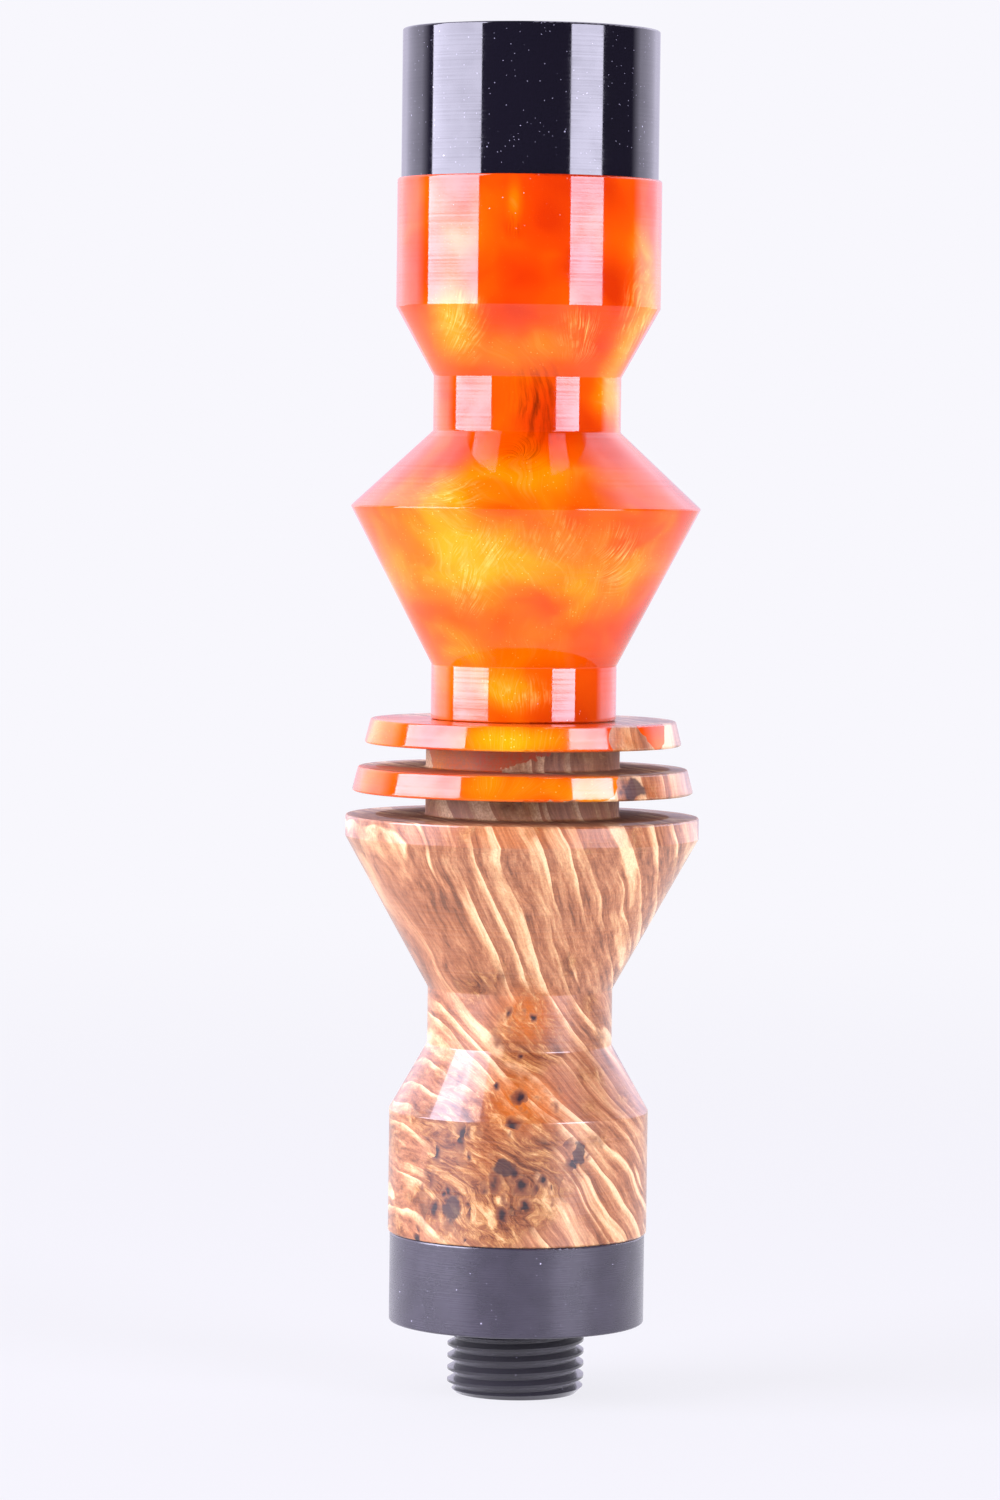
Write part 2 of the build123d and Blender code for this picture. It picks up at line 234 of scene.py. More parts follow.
def pearl_resin(tree, place):
    """The colour of the pearl resin at a place."""
    flow = stirred(tree, stirred(tree, place, 14, 14), 5, 2.2)
    clouds = add_node(tree, "ShaderNodeTexNoise", {"Vector": flow, "Scale": 1 / 11, "Detail": 2.5, "Roughness": 0.45})
    gold = weighed_patches(tree, place, clouds.outputs[0], (
        ((12, -6, 113), (5, 8, 8), 0.40),
        ((8, -10, 118), (6, 6, 5), 0.16),
        ((-8, -11, 109), (4.5, 7, 7), 0.42),
        ((-8, -11, 117), (4, 7, 6), 0.16),
        ((9.5, -5, 106), (4, 6, 6), 0.40),
        ((8, -4, 101.5), (3.5, 6, 4), 0.36),
        ((-6, -13, 91), (14, 9, 6), 0.34),
        ((-5, -13, 86), (10, 9, 7), 0.22),
        ((2, -13, 94), (9, 8, 6), 0.16),
        ((5, -12, 86), (9, 9, 6), 0.06),
        ((0, -8, 84), (24, 24, 17), 0.16),
        ((0, -12, 107), (12, 9, 4), 0.20),
        ((0, -15, 67.5), (11, 7, 3), 0.40),
        ((2, -16, 63), (10, 7, 2.6), 0.22),
        ((-1, -10, 72), (5, 6, 2.6), 0.12),
        ((-1.5, -13, 121), (1.2, 7, 4), 0.20),
        ((0.5, -13, 116), (8, 8, 11), -0.24),
        ((2, -10, 100), (4, 5, 5), -0.10),
        ((4, -12, 79), (9, 8, 5), -0.08),
    ))
    body = add_node(tree, "ShaderNodeValToRGB", {0: gold}, stops=(
        (0.30, "#9A2200"), (0.42, "#A62E00"), (0.54, "#AE3E00"), (0.68, "#B45600"), (0.90, "#C07A04"))).outputs[0]

    # fans of mica threads, drawn out where the pour folded over, and a general veil of them behind
    where = add_node(tree, "ShaderNodeMapRange", {"Value": gold, "From Min": 0.56, "From Max": 0.84, "To Max": 0.4})
    veil = strands(tree, flow, (-3, 0, 60), 0.02, 0.02, 0.50, 0.78)
    veil = add_node(tree, "ShaderNodeMath", {0: veil, 1: where.outputs[0]}, operation="MULTIPLY").outputs[0]
    body = add_node(tree, "ShaderNodeMix", {"Factor": veil, "A": body, "B": linear("#CC9444")},
                    data_type="RGBA").outputs["Result"]
    soft = stirred(tree, stirred(tree, place, 6, 1.6), 1.2, 0.14)
    broken = add_node(tree, "ShaderNodeTexNoise", {"Vector": place, "Scale": 1 / 1.6, "Detail": 3.0}).outputs[0]
    broken = add_node(tree, "ShaderNodeMapRange", {"Value": broken, "From Min": 0.40, "From Max": 0.60,
                                                   "To Min": 0.1}).outputs[0]
    for origin, curl, centre, reach in (
            ((-15, 0, 79), 0.03, (-4, -13, 86.5), (6, 9, 3.6)),
            ((-10, 0, 76), 0.05, (-5.5, -13, 82.5), (2.6, 8, 4)),
            ((-6, 0, 76), 0.02, (3, -13, 88), (4.5, 8, 4)),
            ((4, 0, 85), 0.16, (9, -11, 86), (4, 8, 5)),
            ((-16, 0, 92), 0.03, (-8, -14, 92), (5, 8, 2.5)),
            ((-12, 0, 100), 0.02, (-6.5, -10, 109), (3.4, 8, 5)),
            ((8, 0, 98), -0.01, (11, -5, 110), (3, 8, 9)),
            ((3, 0, 103), 0.05, (5, -10, 108), (3, 8, 4)),
            ((-3, 0, 60), 0.03, (0, -12, 72), (5, 8, 2.5))):
        fan = strands(tree, soft, origin, curl, 0.022, 0.46, 0.76)
        fan = add_node(tree, "ShaderNodeMath", {0: fan, 1: patch(tree, place, centre, reach)},
                       operation="MULTIPLY").outputs[0]
        fan = add_node(tree, "ShaderNodeMath", {0: fan, 1: broken}, operation="MULTIPLY").outputs[0]
        body = add_node(tree, "ShaderNodeMix", {"Factor": fan, "A": body, "B": linear("#DCAC58")},
                        data_type="RGBA").outputs["Result"]

    # dark threads of dye, drawn out along the axis through the upper neck into a curl on the flare
    for origin, curl, centre, reach in (
            ((-4, 0, 112), -0.03, (1.0, -10, 101), (4.2, 8, 6.5)),
            ((-0.6, 0, 95.3), 0.5, (-0.4, -12, 96.2), (4, 8, 3)),
            ((-2.4, 0, 126), 0.0, (-1.6, -12, 118.4), (1.2, 8, 2.2))):
        dark = strands(tree, soft, origin, curl, 0.05, 0.42, 0.64)
        dark = add_node(tree, "ShaderNodeMath", {0: dark, 1: patch(tree, place, centre, reach)},
                        operation="MULTIPLY").outputs[0]
        dark = add_node(tree, "ShaderNodeMath", {0: dark, 1: 0.85}, operation="MULTIPLY").outputs[0]
        body = add_node(tree, "ShaderNodeMix", {"Factor": dark, "A": body, "B": linear("#561600")},
                        data_type="RGBA").outputs["Result"]

    # single flakes of mica, a tenth or two of a millimetre across
    flakes = dust(tree, place, 0.30, 0.07, 0.14)
    where = add_node(tree, "ShaderNodeMapRange", {"Value": gold, "From Min": 0.52, "From Max": 0.86, "To Min": 0.02,
                                                  "To Max": 0.6})
    flakes = add_node(tree, "ShaderNodeMath", {0: flakes, 1: where.outputs[0]}, operation="MULTIPLY").outputs[0]
    body = add_node(tree, "ShaderNodeMix", {"Factor": flakes, "A": body, "B": linear("#D8A850")},
                    data_type="RGBA").outputs["Result"]

    # lint and polish caught at the two ends
    lint = dust(tree, stirred(tree, place, 0.5, 0.25), 0.7, 0.06, 0.4)
    ends = weighed_patches(tree, place, 0.0, (
        ((-3, -12, 121.5), (12, 6, 5), 0.9), ((0, -10, 69.6), (11, 8, 2.2), 1.2)))
    lint = add_node(tree, "ShaderNodeMath", {0: lint, 1: ends}, operation="MULTIPLY", use_clamp=True).outputs[0]
    return add_node(tree, "ShaderNodeMix", {"Factor": lint, "A": body, "B": linear("#B8A8A0")},
                    data_type="RGBA").outputs["Result"]


buffed_resin, tree, shader, place = finish_for("buffed_pearl_resin")
tree.links.new(pearl_resin(tree, place), shader.inputs["Base Color"])
shader.inputs["IOR"].default_value = 1.50
turned_gloss(tree, shader, place, 0.26, 0.015, 0.12, (0.26, 0.46), 0.0006)
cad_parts["barrel"].material_slots[0].material = buffed_resin


# ---- Insert ----
# The lower half of the call, which plugs into the barrel: burl wood with the same resin cast over its natural
# edge, turned to a brim and two thin fins, sealed and polished. The grooves between the fins are left as cut.
def burl_wood(tree, place):
    """The colour of the burl at a place: streaked figure with a painted sheen on its streaks above, knotty burl with
    eyes below.
    """
    bent = stirred(tree, stirred(tree, place, 18, 5), 5, 0.7)
    split = add_node(tree, "ShaderNodeSeparateXYZ", {0: bent}).outputs
    # the streaks fall to the right, flatter lower down: u is constant along a streak
    down = add_node(tree, "ShaderNodeMath", {0: 57.0, 1: split["Z"]}, operation="SUBTRACT").outputs[0]
    slope = add_node(tree, "ShaderNodeMath", {0: down, 1: 0.011, 2: 0.38}, operation="MULTIPLY_ADD").outputs[0]
    slope = add_node(tree, "ShaderNodeMath", {0: slope, 1: 0.75}, operation="MINIMUM").outputs[0]
    fall = add_node(tree, "ShaderNodeMath", {0: down, 1: slope}, operation="MULTIPLY").outputs[0]
    u = add_node(tree, "ShaderNodeMath", {0: split["X"], 1: fall}, operation="SUBTRACT").outputs[0]
    u = add_node(tree, "ShaderNodeMath", {0: split["Y"], 1: 0.3, 2: u}, operation="MULTIPLY_ADD").outputs[0]
    along = add_node(tree, "ShaderNodeCombineXYZ", {0: u, 1: split["Y"], 2: split["Z"]}).outputs[0]

    # each streak fades in slowly and ends sharply, and some of them are faint; the bright sharp end is partly the
    # pale figure and partly a painted sheen, the glint of chatoyant fibres
    streak_pitch = 2.8  # mm
    drift = add_node(tree, "ShaderNodeMapping", {"Vector": along, "Scale": (0.32, 0.05, 0.02)}).outputs[0]
    drift = add_node(tree, "ShaderNodeTexNoise", {"Vector": drift, "Scale": 1.0, "Detail": 1.0}).outputs[0]
    phase = add_node(tree, "ShaderNodeMath", {0: u, 1: 1 / streak_pitch}, operation="MULTIPLY").outputs[0]
    phase = add_node(tree, "ShaderNodeMath", {0: drift, 1: 3.0, 2: phase}, operation="MULTIPLY_ADD").outputs[0]
    saw = add_node(tree, "ShaderNodeMath", {0: phase}, operation="FRACT").outputs[0]
    fade = add_node(tree, "ShaderNodeMapping", {"Vector": along, "Scale": (0.3, 0.1, 0.05), "Location": (7, 3, 5)})
    fade = add_node(tree, "ShaderNodeTexNoise", {"Vector": fade.outputs[0], "Scale": 1.0, "Detail": 1.0}).outputs[0]
    fade = add_node(tree, "ShaderNodeMapRange", {"Value": fade, "From Min": 0.38, "From Max": 0.62, "To Min": 0.15})
    rise = add_node(tree, "ShaderNodeMapRange", {"Value": saw, "From Min": 0.35, "From Max": 0.96}).outputs[0]
    end = add_node(tree, "ShaderNodeMapRange", {"Value": saw, "From Min": 1.0, "From Max": 0.96}).outputs[0]
    streak = add_node(tree, "ShaderNodeMath", {0: rise, 1: end}, operation="MULTIPLY").outputs[0]
    streak = add_node(tree, "ShaderNodeMath", {0: streak, 1: fade.outputs[0]}, operation="MULTIPLY").outputs[0]
    lines = add_node(tree, "ShaderNodeMapping", {"Vector": along, "Scale": (1, 0.3, 0.05)}).outputs[0]
    lines = add_node(tree, "ShaderNodeTexNoise", {"Vector": lines, "Scale": 1 / 0.55, "Detail": 4.0,
                                                  "Roughness": 0.7}).outputs[0]
    streak = add_node(tree, "ShaderNodeMath", {0: streak, 1: 0.7, 2: lines}, operation="MULTIPLY_ADD").outputs[0]
    # the lightest stops are the pale figure and a painted sheen at the streaks' sharp ends
    streaks_and_sheen = add_node(tree, "ShaderNodeValToRGB", {0: streak}, stops=(
        (0.34, "#5A3420"), (0.47, "#7A482C"), (0.60, "#8E5C3C"), (0.80, "#A87E56"), (1.0, "#C09C74"))).outputs[0]

    # knotty burl: the same wood stirred much more, its figure in curls with finer ones inside them
    curl_size = 1.3  # mm
    curled = stirred(tree, stirred(tree, along, 7, 7), 2.0, 2.0)
    drawn = add_node(tree, "ShaderNodeMapping", {"Vector": curled, "Scale": (1, 0.6, 0.35)}).outputs[0]
    knots = add_node(tree, "ShaderNodeTexNoise", {"Vector": drawn, "Scale": 1 / curl_size, "Detail": 6.0,
                                                  "Roughness": 0.72}).outputs[0]
    knotty = add_node(tree, "ShaderNodeValToRGB", {0: knots}, stops=(
        (0.36, "#3A1A0E"), (0.44, "#5E3018"), (0.50, "#744424"), (0.57, "#90643A"), (0.66, "#B08C60"))).outputs[0]

    # where it is knotty: the neck's middle, and the left and middle of the foot
    wander = add_node(tree, "ShaderNodeTexNoise", {"Vector": place, "Scale": 1 / 4, "Detail": 3.0}).outputs[0]
    region = weighed_patches(tree, place, wander, (
        ((0.5, -10, 38), (5, 8, 6), 0.45),
        ((-4, -13, 24), (13, 10, 14), 0.5),
        ((11, -8, 22), (8, 9, 12), -0.3),
        ((-8, -8, 38), (5, 8, 5), -0.3),
        ((0, -12, 51), (22, 14, 9), -0.5),
    ))
    region = add_node(tree, "ShaderNodeMapRange", {"Value": region, "From Min": 0.50, "From Max": 0.72}).outputs[0]
    wood = add_node(tree, "ShaderNodeMix", {"Factor": region, "A": streaks_and_sheen, "B": knotty},
                    data_type="RGBA").outputs["Result"]

    # amber stain around the knots
    amber = weighed_patches(tree, place, 0.0, (
        ((1, -10, 39.5), (5, 7, 5), 1.3), ((0.5, -12, 31), (7, 7, 5), 1.2), ((0, -14, 58.5), (16, 9, 3), 0.8),
        ((10, -13, 67), (3.5, 6, 3), 1.0), ((14, -10, 62.5), (4, 6, 2.5), 0.8), ((-3, -13, 26), (4, 6, 4), 0.3)))
    depth = add_node(tree, "ShaderNodeMapRange", {"Value": knots, "From Min": 0.62, "From Max": 0.40,
                                                  "To Min": 0.2, "To Max": 0.75}).outputs[0]
    amber = add_node(tree, "ShaderNodeMath", {0: amber, 1: depth}, operation="MULTIPLY", use_clamp=True).outputs[0]
    wood = add_node(tree, "ShaderNodeMix", {"Factor": amber, "A": wood, "B": linear("#9A4C04")},
                    data_type="RGBA").outputs["Result"]

    # fine fibres along the streaks, and a grain of pores
    fibre = add_node(tree, "ShaderNodeMapping", {"Vector": along, "Scale": (1, 1, 0.12)}).outputs[0]
    fibre = add_node(tree, "ShaderNodeTexNoise", {"Vector": fibre, "Scale": 1 / 0.24, "Detail": 3.0,
                                                  "Roughness": 0.8}).outputs[0]
    pores = add_node(tree, "ShaderNodeTexNoise", {"Vector": place, "Scale": 1 / 0.2, "Detail": 2.0}).outputs[0]
    fibre = add_node(tree, "ShaderNodeMath", {0: pores, 1: 0.6, 2: fibre}, operation="MULTIPLY_ADD").outputs[0]
    fibre = add_node(tree, "ShaderNodeMapRange", {"Value": fibre, "From Min": 0.5, "From Max": 1.1, "To Min": 0.72,
                                                  "To Max": 1.28}).outputs[0]
    wood = add_node(tree, "ShaderNodeVectorMath", {0: wood, "Scale": fibre}, operation="SCALE").outputs[0]

    # eyes: dark pins about a millimetre long with a brown rim and a faint pale one, in clusters of the knotty wood
    eye_spacing = 1.5  # mm
    lying = add_node(tree, "ShaderNodeMapping", {"Vector": stirred(tree, place, 1.2, 1.3), "Scale": (1, 1, 0.7),
                                                 "Rotation": (0, math.radians(25), 0)}).outputs[0]
    cells = add_node(tree, "ShaderNodeTexVoronoi", {"Vector": lying, "Scale": 1 / eye_spacing})
    chance = add_node(tree, "ShaderNodeSeparateColor", {0: cells.outputs["Color"]}).outputs
    crowd = weighed_patches(tree, place, 0.0, (
        ((-8, -10, 20), (5, 8, 6), 1.5), ((-4.5, -12, 26.5), (4.5, 7, 4), 1.4), ((0, -13, 22.5), (6, 7, 4), 1.2),
        ((0.5, -13, 31), (5, 7, 4), 1.1), ((0.5, -10, 39), (5, 6, 4.5), 1.0), ((6, -12, 26), (3, 6, 3), 0.9),
        ((0, 13, 24), (14, 8, 12), 0.5)))
    kept = add_node(tree, "ShaderNodeMath", {0: chance[0], 1: crowd}, operation="LESS_THAN").outputs[0]
    grown = add_node(tree, "ShaderNodeMapRange", {"Value": chance[1], "To Min": 0.55, "To Max": 1.7}).outputs[0]
    reach = add_node(tree, "ShaderNodeMath", {0: cells.outputs["Distance"], 1: grown},
                     operation="MULTIPLY").outputs[0]
    for inner, outer, tone, weight in ((0.36, 0.50, "#A87C50", 0.25), (0.26, 0.46, "#522418", 0.8),
                                       (0.12, 0.24, "#1A1218", 0.95)):
        ring = add_node(tree, "ShaderNodeMapRange", {"Value": reach, "From Min": outer, "From Max": inner,
                                                     "To Max": weight}).outputs[0]
        ring = add_node(tree, "ShaderNodeMath", {0: ring, 1: kept}, operation="MULTIPLY").outputs[0]
        wood = add_node(tree, "ShaderNodeMix", {"Factor": ring, "A": wood, "B": linear(tone)},
                        data_type="RGBA").outputs["Result"]

    # four larger bark pockets: on the lower fin's right, and in the middle, on the left and on the right of the foot
    ragged = stirred(tree, place, 1.1, 1.6)
    pockets = weighed_patches(tree, ragged, 0.0, (
        ((11.3, -14, 62.7), (2.4, 5, 1.7), 3.0), ((-1.3, -13, 24.6), (2.0, 5, 1.5), 3.0),
        ((-6.6, -12, 20.3), (1.5, 5, 2.4), 3.0), ((6.2, -12, 26), (0.9, 5, 1.8), 3.0)))
    pockets = add_node(tree, "ShaderNodeMapRange", {"Value": pockets, "From Min": 0.6, "From Max": 1.4,
                                                    "To Max": 0.85}).outputs[0]
    return add_node(tree, "ShaderNodeMix", {"Factor": pockets, "A": wood, "B": linear("#2A1A1E")},
                    data_type="RGBA").outputs["Result"]


sealed_burl, tree, shader, place = finish_for("sealed_burl_and_resin")
split = add_node(tree, "ShaderNodeSeparateXYZ", {0: place}).outputs
# the natural edge of the burl: resin lies above a surface that rises towards the back and to the right, in mm
edge_height = 71.8  # on the axis, before the lumps and the sinking
edge_lowest = 62.1  # no lower than this before it sinks, so that the brim, which ends at 59.2, stays wood
edge_sinks = 2.6  # the whole edge is then lowered by this
edge = add_node(tree, "ShaderNodeMath", {0: split["Y"], 1: 0.65, 2: edge_height}, operation="MULTIPLY_ADD").outputs[0]
left = add_node(tree, "ShaderNodeMath", {0: split["X"], 1: 0.0}, operation="MINIMUM").outputs[0]
edge = add_node(tree, "ShaderNodeMath", {0: left, 1: 0.5, 2: edge}, operation="MULTIPLY_ADD").outputs[0]
right = add_node(tree, "ShaderNodeMath", {0: split["X"], 1: 0.0}, operation="MAXIMUM").outputs[0]
edge = add_node(tree, "ShaderNodeMath", {0: right, 1: 0.2, 2: edge}, operation="MULTIPLY_ADD").outputs[0]
edge = weighed_patches(tree, place, edge, (
    ((10, -12, 68), (2.8, 5, 3), 7.0), ((7.5, -15, 63), (4, 4, 3), -3.5), ((13.6, -8, 68), (1.8, 4, 3), -4.0)))
lumps = add_node(tree, "ShaderNodeTexNoise", {"Vector": place, "Scale": 1 / 3, "Detail": 3.0}).outputs[0]
edge = add_node(tree, "ShaderNodeMath", {0: lumps, 1: 3.0, 2: edge}, operation="MULTIPLY_ADD").outputs[0]
scallops = add_node(tree, "ShaderNodeTexNoise", {"Vector": place, "Scale": 1 / 1.1, "Detail": 3.0}).outputs[0]
edge = add_node(tree, "ShaderNodeMath", {0: scallops, 1: 2.0, 2: edge}, operation="MULTIPLY_ADD").outputs[0]
edge = add_node(tree, "ShaderNodeMath", {0: edge, 1: edge_lowest}, operation="MAXIMUM").outputs[0]
above = add_node(tree, "ShaderNodeMath", {0: split["Z"], 1: edge}, operation="SUBTRACT").outputs[0]
above = add_node(tree, "ShaderNodeMath", {0: above, 1: edge_sinks}, operation="ADD").outputs[0]
resin_share = add_node(tree, "ShaderNodeMapRange", {"Value": above, "From Min": -0.04, "From Max": 0.04}).outputs[0]
colour = add_node(tree, "ShaderNodeMix", {"Factor": resin_share, "A": burl_wood(tree, place),
                                          "B": pearl_resin(tree, place)},
                  data_type="RGBA").outputs["Result"]

# the grooves and the flat faces between the fins are as cut: dull and greyer
cut_radius = 15.0  # mm, past the grooves' cores but inside the fins' rims
cut_from = 59.0  # mm up, just under the brim's top face at 59.2
off_axis = add_node(tree, "ShaderNodeVectorMath", {0: place, 1: (1, 1, 0)}, operation="MULTIPLY").outputs[0]
off_axis = add_node(tree, "ShaderNodeVectorMath", {0: off_axis}, operation="LENGTH").outputs["Value"]
core = add_node(tree, "ShaderNodeMath", {0: off_axis, 1: cut_radius}, operation="LESS_THAN").outputs[0]
facing = add_node(tree, "ShaderNodeSeparateXYZ", {0: add_node(tree, "ShaderNodeTexCoord").outputs["Normal"]})
flat = add_node(tree, "ShaderNodeMath", {0: facing.outputs["Z"]}, operation="ABSOLUTE").outputs[0]
flat = add_node(tree, "ShaderNodeMath", {0: flat, 1: 0.8}, operation="GREATER_THAN").outputs[0]
flat = add_node(tree, "ShaderNodeMath", {0: flat, 1: 0.55}, operation="MULTIPLY").outputs[0]
raw = add_node(tree, "ShaderNodeMath", {0: core, 1: flat}, operation="MAXIMUM").outputs[0]
top = add_node(tree, "ShaderNodeMapRange", {"Value": split["Z"], "From Min": 68.4, "From Max": 68.8, "To Min": 1.0,
                                            "To Max": 0.25}).outputs[0]
raw = add_node(tree, "ShaderNodeMath", {0: raw, 1: top}, operation="MULTIPLY").outputs[0]
between = add_node(tree, "ShaderNodeMath", {0: split["Z"], 1: cut_from}, operation="GREATER_THAN").outputs[0]
raw = add_node(tree, "ShaderNodeMath", {0: raw, 1: between}, operation="MULTIPLY").outputs[0]
torn = add_node(tree, "ShaderNodeTexNoise", {"Vector": place, "Scale": 1 / 0.25, "Detail": 3.0}).outputs[0]
torn = add_node(tree, "ShaderNodeMapRange", {"Value": torn, "From Min": 0.35, "From Max": 0.65, "To Min": 0.1,
                                             "To Max": 0.65}).outputs[0]
veil = add_node(tree, "ShaderNodeMath", {0: raw, 1: torn}, operation="MULTIPLY").outputs[0]
tree.links.new(add_node(tree, "ShaderNodeMix", {"Factor": veil, "A": colour, "B": linear("#7E5232")},
                        data_type="RGBA").outputs["Result"],
               shader.inputs["Base Color"])
shader.inputs["IOR"].default_value = 1.5
turned_gloss(tree, shader, place, 0.3, 0.03, 0.16, (0.30, 0.50), 0.0006)
gloss = shader.inputs["Roughness"].links[0].from_socket
haze = add_node(tree, "ShaderNodeMix", {"Factor": resin_share, "A": 0.32, "B": gloss}).outputs[0]
tree.links.new(add_node(tree, "ShaderNodeMix", {"Factor": raw, "A": haze, "B": 0.65}).outputs[0],
               shader.inputs["Roughness"])
bare = add_node(tree, "ShaderNodeMath", {0: raw, 1: resin_share}, operation="MAXIMUM").outputs[0]
tree.links.new(add_node(tree, "ShaderNodeMapRange", {"Value": bare, "To Min": 0.45, "To Max": 0.0}).outputs[0],
               shader.inputs["Coat Weight"])
shader.inputs["Coat Roughness"].default_value = 0.04
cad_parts["insert_body"].material_slots[0].material = sealed_burl


# ---- End collar ----
# The ring and threaded stub under the insert: black acrylic, glued in by its spigot and left satin from the
# lathe, so that it looks grey rather than black, greyer still towards its two sides, and shows its dust.
stub_top = 7.3  # mm up, where the thread ends under the ring
satin_black, tree, shader, place = finish_for("satin_black_acrylic")
cloud = add_node(tree, "ShaderNodeTexNoise", {"Vector": place, "Scale": 0.4, "Detail": 4.0}).outputs[0]
tone = add_node(tree, "ShaderNodeValToRGB", {0: cloud}, stops=((0.35, "#211D29"), (0.65, "#282430"))).outputs[0]
fine = dust(tree, place, 0.5, 0.055, 0.14)
specks = dust(tree, place, 1.2, 0.085, 0.20)
specks = add_node(tree, "ShaderNodeMath", {0: fine, 1: 0.4, 2: specks}, operation="MULTIPLY_ADD", use_clamp=True)
tone = add_node(tree, "ShaderNodeMix", {"Factor": specks.outputs[0], "A": tone, "B": linear("#8C8899")},
                data_type="RGBA").outputs["Result"]
turned_gloss(tree, shader, place, 0.16, 0.26, 0.38, (0.62, 0.75), 0.0005)
shader.inputs["Sheen Weight"].default_value = 0.16
shader.inputs["Sheen Roughness"].default_value = 0.45

# the thread is cut with a die and oiled, so it stays blacker and shinier than the ring
height = add_node(tree, "ShaderNodeSeparateXYZ", {0: place}).outputs["Z"]
thread = add_node(tree, "ShaderNodeMapRange", {"Value": height, "From Min": stub_top + 0.05,
                                               "From Max": stub_top - 0.05}).outputs[0]
oiled = add_node(tree, "ShaderNodeMath", {0: thread, 1: 0.7}, operation="MULTIPLY").outputs[0]
tree.links.new(add_node(tree, "ShaderNodeMix", {"Factor": oiled, "A": tone, "B": linear("#060509")},
                        data_type="RGBA").outputs["Result"],
               shader.inputs["Base Color"])
rough = shader.inputs["Roughness"].links[0].from_socket
tree.links.new(add_node(tree, "ShaderNodeMix", {"Factor": thread, "A": rough, "B": 0.17}).outputs[0],
               shader.inputs["Roughness"])
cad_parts["end_collar"].material_slots[0].material = satin_black


# ---- Tone board ----
# The tongue that the reeds lie on: black acrylic, moulded and then sanded flat on the reed side by hand, glued
# into the insert's bore. Fine sanding lines run along it and the gloss is broken.
moulded_black, tree, shader, place = finish_for("moulded_black_acrylic")
cloud = add_node(tree, "ShaderNodeTexNoise", {"Vector": place, "Scale": 0.5, "Detail": 4.0}).outputs[0]
tone = add_node(tree, "ShaderNodeValToRGB", {0: cloud}, stops=((0.35, "#15131B"), (0.65, "#211F29"))).outputs[0]
tree.links.new(tone, shader.inputs["Base Color"])
lines = add_node(tree, "ShaderNodeMapping", {"Vector": place, "Scale": (1, 1, 0.03)}).outputs[0]
lines = add_node(tree, "ShaderNodeTexNoise", {"Vector": lines, "Scale": 1 / 0.16, "Detail": 3.0}).outputs[0]
tree.links.new(add_node(tree, "ShaderNodeMapRange", {"Value": lines, "From Min": 0.35, "From Max": 0.65,
                                                     "To Min": 0.22, "To Max": 0.42}).outputs[0],
               shader.inputs["Roughness"])
tree.links.new(add_node(tree, "ShaderNodeBump", {"Height": lines, "Distance": 0.000004}).outputs[0],
               shader.inputs["Normal"])
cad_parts["tone_board"].material_slots[0].material = moulded_black


# ---- O-rings ----
# Two nitrile rings in the insert's grooves that hold the barrel: moulded in halves, so a fine flash line runs
# round the outside, and the rubber is dull with a little grease and lint on it.
rubber, tree, shader, place = finish_for("nitrile_rubber")
cloud = add_node(tree, "ShaderNodeTexNoise", {"Vector": place, "Scale": 0.8, "Detail": 4.0}).outputs[0]
tone = add_node(tree, "ShaderNodeValToRGB", {0: cloud}, stops=((0.35, "#121214"), (0.65, "#1E1E21"))).outputs[0]
lint = dust(tree, place, 0.7, 0.06, 0.12)
tree.links.new(add_node(tree, "ShaderNodeMix", {"Factor": lint, "A": tone, "B": linear("#5C5A60")},
                        data_type="RGBA").outputs["Result"],
               shader.inputs["Base Color"])
tree.links.new(add_node(tree, "ShaderNodeMapRange", {"Value": cloud, "From Min": 0.35, "From Max": 0.65,
                                                     "To Min": 0.34, "To Max": 0.56}).outputs[0],
               shader.inputs["Roughness"])
grain = add_node(tree, "ShaderNodeTexNoise", {"Vector": place, "Scale": 1 / 0.12, "Detail": 2.0}).outputs[0]
tree.links.new(add_node(tree, "ShaderNodeBump", {"Height": grain, "Distance": 0.000004}).outputs[0],
               shader.inputs["Normal"])
for ring in ("lower_o_ring", "upper_o_ring"):
    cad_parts[ring].material_slots[0].material = rubber


# ---- Reeds ----
# Two strips of milky polyester film, a quarter of a millimetre thick, cut and dimpled by hand. The film is
# smooth with a soft haze, and has fine scratches along it from being slid in and out.
film, tree, shader, place = finish_for("milky_polyester_film")
cloud = add_node(tree, "ShaderNodeTexNoise", {"Vector": place, "Scale": 0.25, "Detail": 3.0}).outputs[0]
tone = add_node(tree, "ShaderNodeValToRGB", {0: cloud}, stops=((0.35, "#74766F"), (0.65, "#84857E"))).outputs[0]
scratches = add_node(tree, "ShaderNodeMapping", {"Vector": place, "Scale": (1, 1, 0.02)}).outputs[0]
scratches = add_node(tree, "ShaderNodeTexNoise", {"Vector": scratches, "Scale": 1 / 0.14, "Detail": 4.0}).outputs[0]
worn = add_node(tree, "ShaderNodeMapRange", {"Value": scratches, "From Min": 0.58, "From Max": 0.70,
                                             "To Max": 0.5}).outputs[0]
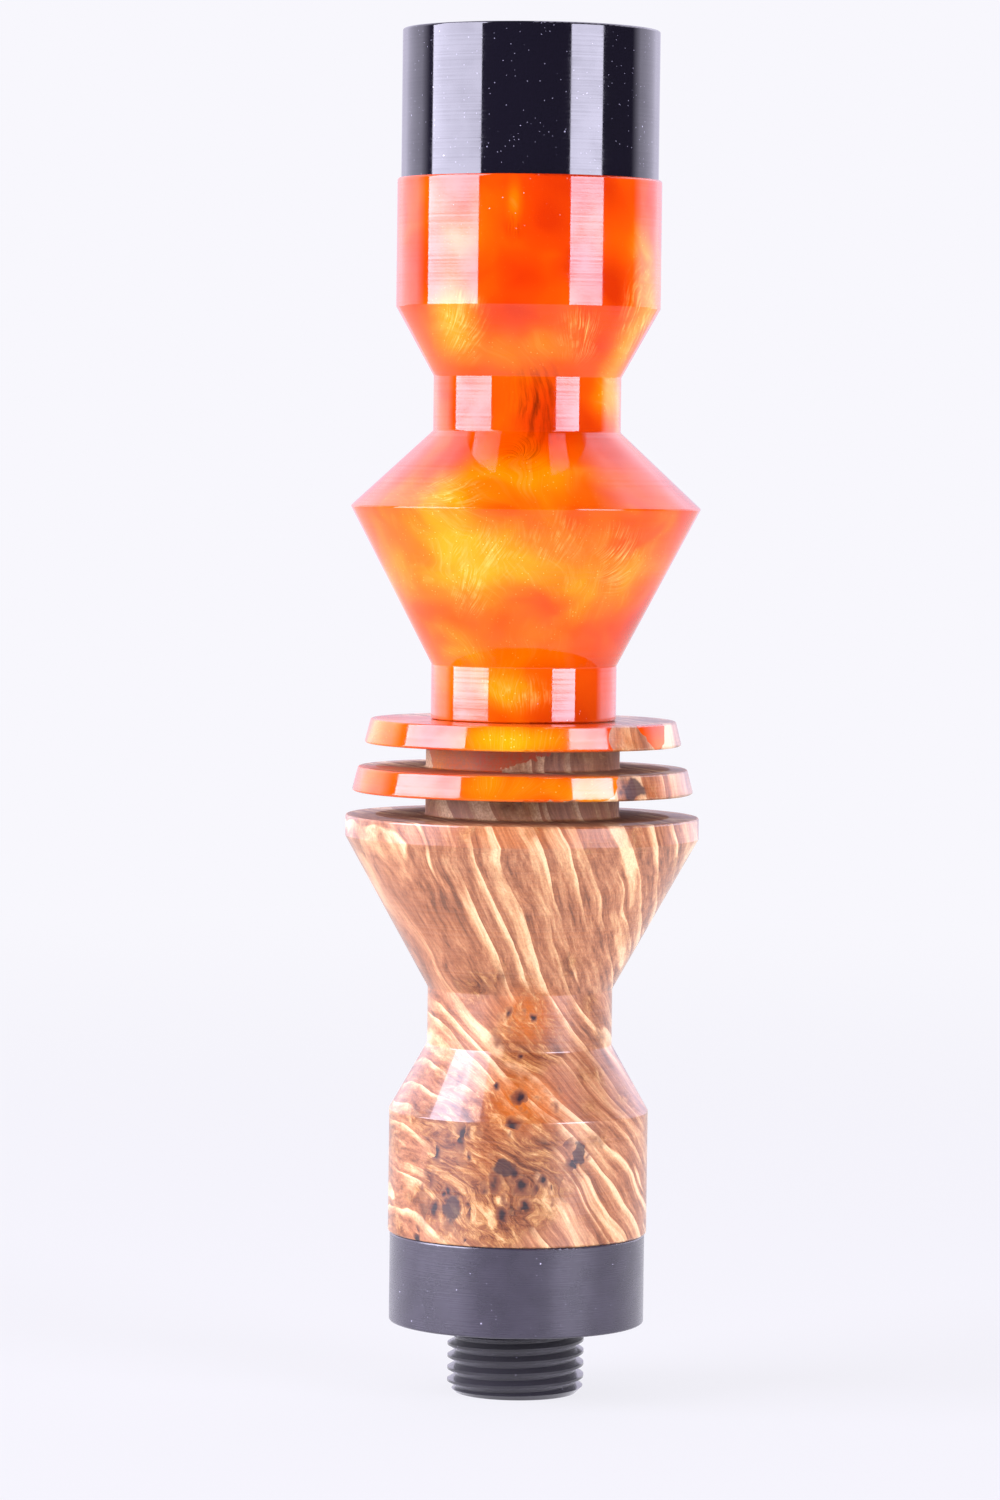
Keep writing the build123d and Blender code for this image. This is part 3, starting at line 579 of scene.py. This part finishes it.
tree.links.new(add_node(tree, "ShaderNodeMix", {"Factor": worn, "A": tone, "B": linear("#9A9A94")},
                        data_type="RGBA").outputs["Result"],
               shader.inputs["Base Color"])
tree.links.new(add_node(tree, "ShaderNodeMapRange", {"Value": scratches, "From Min": 0.4, "From Max": 0.7,
                                                     "To Min": 0.16, "To Max": 0.36}).outputs[0],
               shader.inputs["Roughness"])
shader.inputs["IOR"].default_value = 1.64
shader.inputs["Transmission Weight"].default_value = 0.25
for reed in ("long_reed", "short_reed"):
    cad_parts[reed].material_slots[0].material = film


# ---- Wedge ----
# The block that holds the reeds down: cork punched from sheet. Its cells are a few tenths of a millimetre
# across, tan and brown, with darker bark streaks and small pits.
cork, tree, shader, place = finish_for("punched_cork")
cells = add_node(tree, "ShaderNodeTexVoronoi", {"Vector": stirred(tree, place, 0.8, 0.3), "Scale": 1 / 0.45})
shade = add_node(tree, "ShaderNodeSeparateColor", {0: cells.outputs["Color"]}).outputs[0]
tone = add_node(tree, "ShaderNodeValToRGB", {0: shade}, stops=(
    (0.0, "#8A6038"), (0.5, "#A2774A"), (0.85, "#B48A5C"), (1.0, "#6A4424"))).outputs[0]
bark = add_node(tree, "ShaderNodeMapping", {"Vector": stirred(tree, place, 2, 0.8), "Scale": (1, 1, 0.3)}).outputs[0]
bark = add_node(tree, "ShaderNodeTexNoise", {"Vector": bark, "Scale": 1.1, "Detail": 3.0}).outputs[0]
bark = add_node(tree, "ShaderNodeMapRange", {"Value": bark, "From Min": 0.60, "From Max": 0.66,
                                             "To Max": 0.85}).outputs[0]
tree.links.new(add_node(tree, "ShaderNodeMix", {"Factor": bark, "A": tone, "B": linear("#472A16")},
                        data_type="RGBA").outputs["Result"],
               shader.inputs["Base Color"])
shader.inputs["Roughness"].default_value = 0.85
tree.links.new(add_node(tree, "ShaderNodeBump", {"Height": cells.outputs["Distance"], "Distance": 0.00006,
                                                 "Strength": 0.6}).outputs[0],
               shader.inputs["Normal"])
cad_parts["wedge"].material_slots[0].material = cork
